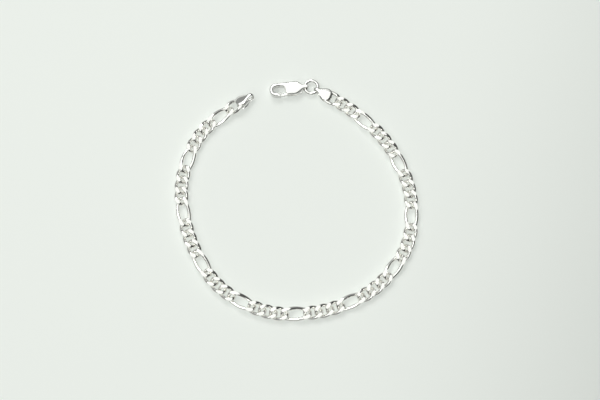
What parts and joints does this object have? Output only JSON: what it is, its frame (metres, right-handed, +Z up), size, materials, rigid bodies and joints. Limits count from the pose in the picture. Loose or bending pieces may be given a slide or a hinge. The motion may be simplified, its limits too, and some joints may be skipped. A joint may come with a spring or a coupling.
{
  "type": "chain bracelet",
  "caption": "Figaro chain bracelet of twisted, flat-cut oval links with folded end caps, a jump ring and a sprung trigger clasp, lying open on a table.",
  "frame": {"origin": "middle of the bracelet's box, at table height", "axes": "+Z up from the table; +Y from the loop's middle towards the gap and the clasp; +X to the right with the clasp on the far side"},
  "size_m": [0.0708, 0.0718, 0.0034],
  "materials": {
    "link_silver": "polished silver, flat-cut faces",
    "fitting_silver": "polished silver, folded sheet and wire",
    "clasp_silver": "polished silver, cast"
  },
  "bodies": {
    "bracelet": {"short_link_01": "link_silver", "short_link_02": "link_silver", "short_link_03": "link_silver", "short_link_04": "link_silver", "short_link_05": "link_silver", "short_link_06": "link_silver", "short_link_07": "link_silver", "short_link_08": "link_silver", "short_link_09": "link_silver", "short_link_10": "link_silver", "short_link_11": "link_silver", "short_link_12": "link_silver", "short_link_13": "link_silver", "short_link_14": "link_silver", "short_link_15": "link_silver", "short_link_16": "link_silver", "short_link_17": "link_silver", "short_link_18": "link_silver", "short_link_19": "link_silver", "short_link_20": "link_silver", "short_link_21": "link_silver", "short_link_22": "link_silver", "short_link_23": "link_silver", "short_link_24": "link_silver", "short_link_25": "link_silver", "short_link_26": "link_silver", "short_link_27": "link_silver", "short_link_28": "link_silver", "short_link_29": "link_silver", "short_link_30": "link_silver", "short_link_31": "link_silver", "short_link_32": "link_silver", "short_link_33": "link_silver", "short_link_34": "link_silver", "long_link_01": "link_silver", "long_link_02": "link_silver", "long_link_03": "link_silver", "long_link_04": "link_silver", "long_link_05": "link_silver", "long_link_06": "link_silver", "long_link_07": "link_silver", "long_link_08": "link_silver", "long_link_09": "link_silver", "long_link_10": "link_silver", "long_link_11": "link_silver", "end_cap_left": "fitting_silver", "end_cap_right": "fitting_silver", "jump_ring": "fitting_silver", "clasp_body": "clasp_silver"},
    "lever": {"clasp_lever": "clasp_silver"}
  },
  "joints": [
    {"name": "lever_pivot", "type": "hinge", "parent": "bracelet", "child": "lever", "pos_m": [-0.00168, 0.0321, 0.0013], "axis": [0, 0, -1], "range_deg": [0, 25], "stiffness_Nm_per_rad": 0.0002, "springref_deg": -5.73}
  ]
}
